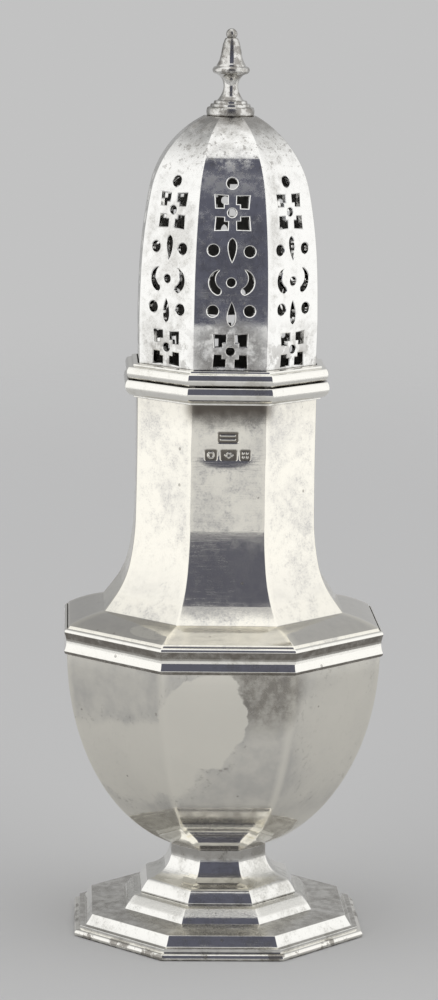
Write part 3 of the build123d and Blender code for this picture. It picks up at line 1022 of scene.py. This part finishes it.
def moulding_marks(n, place, upward, film, mottle):
    """Dark blotches along the rim that the caster stands on, and tarnish under the girdle's reeds."""
    height = n.parts(place)[2]
    at_foot = n.fall(height, *WIRE_TOP)
    blotch = n.ramp(n.noise(place, 0.24, 4.0, 0.7, 61.0), 0.52, 0.60)
    blotch = n.times(at_foot, blotch, 0.70)
    girdle = n.band(height, *GIRDLE)
    under = n.times(n.fall(upward, *FACING_DOWN), n.ramp(mottle, 0.25, 0.6, 0.60, 0.85))
    return film, n.most(blotch, n.times(girdle, under)), None


def finial_marks(n, place, upward, film, mottle):
    """Casting skin left in patches."""
    return film, n.ramp(n.noise(place, 0.7, 4.0, 0.65, 71.0), 0.45, 0.58, 0.0, 0.62), None


# ---- silver

# also the colour of the painted shade and painted shadow that the marks add
DARK_TARNISH_AND_SHADE = (0.115, 0.095, 0.075, 1)
DULL_INSIDE = (0.13, 0.125, 0.115, 1)
CREVICE_REACH = 1.3 * MM
BUMP_DEPTH = 0.02 * MM
SCRATCH_WAYS = ((0.3, 0.64), (1.45, 0.66), (2.5, 0.65))  # turn, and how much noise makes a scratch
SCRATCH_STRETCH = (0.16, 9.0, 9.0)


def facing_in(n, place, normal):
    """1 on the inside of the hollow pieces, 0 outside."""
    sideways = n.add("ShaderNodeVectorMath", {0: place, 1: (1, 1, 0)}, operation="MULTIPLY").outputs[0]
    sideways = n.add("ShaderNodeVectorMath", {0: sideways}, operation="NORMALIZE").outputs[0]
    outward = n.add("ShaderNodeVectorMath", {0: sideways, 1: normal}, operation="DOT_PRODUCT")
    return n.fall(outward.outputs["Value"], -0.35, -0.2)


def dark_tarnish(n, place, mottle, grain, unworn, crevice):
    """Tarnish in crevices, except on worn ridges, and in scattered round pits."""
    ambient = n.add("ShaderNodeAmbientOcclusion", {"Distance": CREVICE_REACH}, samples=6).outputs["AO"]
    hollow = n.times(n.fall(ambient, 0.30, 0.85), n.ramp(mottle, 0.30, 0.60, 0.35, 1.0))
    hollow = n.times(hollow, crevice, unworn)
    cells = n.add("ShaderNodeTexVoronoi", {"Vector": place, "Scale": 0.33})
    chance = n.add("ShaderNodeSeparateColor", {0: cells.outputs["Color"]}).outputs[0]
    size = n.ramp(chance, 0.60, 1.0, 0.0, 0.13)
    pit = n.fall(n.math("SUBTRACT", cells.outputs["Distance"], size), -0.035, 0.0)
    pit = n.times(pit, n.ramp(grain, 0.3, 0.5))
    return n.most(hollow, n.times(pit, 0.5))


def scratch_lines(n, place, broad, seed):
    """Fine scratches in three directions, thick and thin."""
    lines = None
    for turn, wear in SCRATCH_WAYS:
        rotation = (0.4 * turn, turn, 0.7 * turn)
        way = n.add("ShaderNodeMapping", {"Vector": place, "Rotation": rotation, "Scale": SCRATCH_STRETCH})
        line = n.ramp(n.noise(way.outputs[0], 1.0, 1.0, 0.4, seed + turn), wear, wear + 0.06)
        lines = line if lines is None else n.most(lines, line)
    return n.times(lines, n.ramp(broad, 0.38, 0.62, 0.25, 1.0))


def silver(name, clean, film, marks=None, cover=(0.46, 0.62), speckle=0.25, haze=0.12, roughness=0.05,
           crevice=0.8, scratches=0.5, peel=0.2, frost=(0.12, 14.0), seed=0.0):
    """Polished silver under a thin, uneven film of tarnish, darker in its crevices, cleaner on its ridges
    and dull inside. clean and film are colours. cover sets how much of the surface the film takes, speckle
    how much is specks, and haze how much rougher it is. marks adds the piece's own, and frost is the
    roughness and the grain of what it frosts."""
    material = bpy.data.materials.new(name)
    material.use_nodes = True
    n = Nodes(material.node_tree)
    coords = n.add("ShaderNodeTexCoord").outputs
    to_mm = {0: coords["Object"], "Scale": 1 / MM}
    place = n.add("ShaderNodeVectorMath", to_mm, operation="SCALE").outputs[0]
    ridge = n.add("ShaderNodeAttribute", attribute_name="ridge").outputs["Fac"]
    grime = n.add("ShaderNodeAttribute", attribute_name="grime").outputs["Fac"]
    upward = n.parts(coords["Normal"])[2]
    within = facing_in(n, place, coords["Normal"])
    broad = n.noise(place, 0.085, 3.0, 0.5, seed)
    mottle = n.noise(place, 0.55, 5.0, 0.65, seed + 3)
    grain = n.noise(place, 2.6, 3.0, 0.7, seed + 5)
    # the film: broad clouds with mottled edges, broken up by grain
    cloud = n.scaled(mottle, 0.4, n.times(broad, 0.6))
    fine = n.ramp(grain, 0.42, 0.66)
    covered = n.times(n.ramp(cloud, *cover), n.scaled(fine, 0.35, 0.65))
    covered = n.scaled(n.times(fine, n.ramp(mottle, 0.42, 0.62)), speckle, covered)
    stain, frosted = 0.0, None
    if marks:
        covered, stain, frosted = marks(n, place, upward, covered, mottle)
    unworn = n.scaled(ridge, -0.75, 1.0)
    covered = n.math("MULTIPLY", covered, unworn, clamp=True)
    dark = dark_tarnish(n, place, mottle, grain, unworn, crevice)
    # the marks' stain holds painted shade as well as real stains
    dark = n.most(dark, stain)
    dark = n.math("MAXIMUM", dark, grime, clamp=True)
    lines = scratch_lines(n, place, broad, seed)
    colour = n.mix(covered, clean, film)
    colour = n.mix(dark, colour, DARK_TARNISH_AND_SHADE)
    colour = n.mix(n.times(within, n.scaled(ridge, -0.6, 0.9)), colour, DULL_INSIDE)
    rough = n.scaled(covered, haze, roughness)
    rough = n.scaled(fine, 0.03, rough)
    rough = n.scaled(lines, 0.18 * scratches, rough)
    rough = n.scaled(dark, 0.30, rough)
    rough = n.math("MULTIPLY_ADD", within, 0.35, rough, clamp=True)
    height = n.scaled(grain, 0.35, mottle)
    height = n.scaled(lines, -0.35 * scratches, height)
    height = n.scaled(dark, -0.5, height)
    if frosted:
        frost_roughness, frost_grain = frost
        sparkle = n.noise(place, 5.0, 2.0, 0.6, seed + 9)
        height = n.scaled(n.times(frosted, sparkle), frost_grain, height)
        rough = n.math("MULTIPLY_ADD", frosted, frost_roughness, rough, clamp=True)
    bump = n.add("ShaderNodeBump", {"Strength": peel, "Distance": BUMP_DEPTH, "Height": height}).outputs[0]
    inputs = {"Base Color": colour, "Metallic": 1.0, "Roughness": rough, "Normal": bump}
    shader = n.add("ShaderNodeBsdfPrincipled", inputs).outputs[0]
    n.add("ShaderNodeOutputMaterial", {"Surface": shader})
    return material


# ---- the scene

camera()
studio_world()
floor()
body_silver = silver("body_silver", (0.955, 0.925, 0.835, 1), (0.66, 0.645, 0.61, 1), body_marks,
                     cover=(0.44, 0.66), speckle=0.35, haze=0.07, frost=(0.28, 2.0), seed=1.0)
foot_silver = silver("foot_silver", (0.93, 0.92, 0.88, 1), (0.62, 0.61, 0.57, 1), foot_marks,
                     speckle=0.35, peel=0.35, seed=2.0)
moulding_silver = silver("moulding_silver", (0.95, 0.935, 0.88, 1), (0.68, 0.66, 0.59, 1), moulding_marks,
                         cover=(0.50, 0.68), speckle=0.15, crevice=1.0, seed=3.0)
pierced_silver = silver("pierced_silver", (0.94, 0.935, 0.91, 1), (0.66, 0.65, 0.62, 1), dome_marks,
                        speckle=0.35, haze=0.05, roughness=0.035, scratches=0.3, peel=0.12,
                        frost=(0.30, 2.0), seed=4.0)
sleeve_silver = silver("sleeve_silver", (0.82, 0.80, 0.74, 1), (0.60, 0.57, 0.48, 1), roughness=0.22,
                       seed=5.0)
finial_silver = silver("finial_silver", (0.82, 0.81, 0.78, 1), (0.46, 0.45, 0.42, 1), finial_marks,
                       crevice=1.0, cover=(0.42, 0.58), seed=6.0)

swept_piece("foot_rim_wire", "foot_wire", "body", moulding_silver, 1, ridge_radius=0.45)
swept_piece("foot_plinth", "stepped_foot", "body", foot_silver, 2, ridge_radius=0.45)
swept_piece("foot_pedestal", "stem", "body", foot_silver, 3, step=0.5, ridge_radius=0.35)
swept_piece("bowl", "lower_body", "body", body_silver, 4, step=0.9, ridge_radius=0.9, across=20)
swept_piece("girdle_moulding", "girdle", "body", moulding_silver, 5, step=0.5, ridge_radius=0.35, across=16)
swept_piece("shoulder_and_neck", "upper_body", "body", body_silver, 6, ridge_radius=0.6, across=14,
            front_across=MARKS_COLUMNS, fine_rows=MARKS_ROWS, struck=struck_marks)
swept_piece("neck_rim_moulding", "neck_rim", "body", moulding_silver, 7, step=0.5)
swept_piece("cover_rim_moulding", "cover_rim", "cover", moulding_silver, 8, step=0.5)
swept_piece("cover_sleeve", "sleeve", "cover", sleeve_silver, 9, ridge_radius=0.4)
swept_piece("finial_boss", "boss", "cover", finial_silver, 10, step=0.4, wave=FINIAL_WAVE, round_piece=True)
swept_piece("finial_baluster", "finial", "cover", finial_silver, 11, step=0.25, wave=FINIAL_WAVE,
            round_piece=True)
pierced_dome(pierced_silver)
bpy.context.scene.view_settings.view_transform = "Standard"
